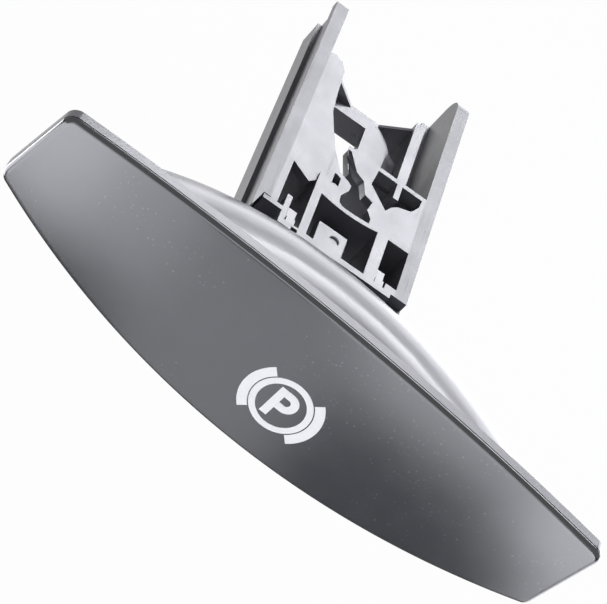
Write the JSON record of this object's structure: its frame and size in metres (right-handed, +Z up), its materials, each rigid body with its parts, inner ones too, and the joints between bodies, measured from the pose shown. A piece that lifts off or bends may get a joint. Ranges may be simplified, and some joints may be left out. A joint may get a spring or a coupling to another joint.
{
  "type": "parking brake release handle",
  "caption": "Dashboard pull handle with a lens-shaped panel, a finger grip bowl behind it and a ribbed slider frame that draws a brake cable.",
  "frame": {"origin": "middle of the slider frame's front wall, on the bottom plane of its rails", "axes": "+X across to the driver's right, +Y back into the dashboard along the slide, +Z up"},
  "size_m": [0.1232, 0.1041, 0.0349],
  "materials": {
    "frame_plastic": "fine moulded grain",
    "grip_plastic": "smooth satin",
    "cover_plastic": "satin with a printed white pictogram"
  },
  "bodies": {
    "root": {"slider_frame": "frame_plastic", "grip_body": "grip_plastic", "front_cover": "cover_plastic"}
  },
  "joints": []
}
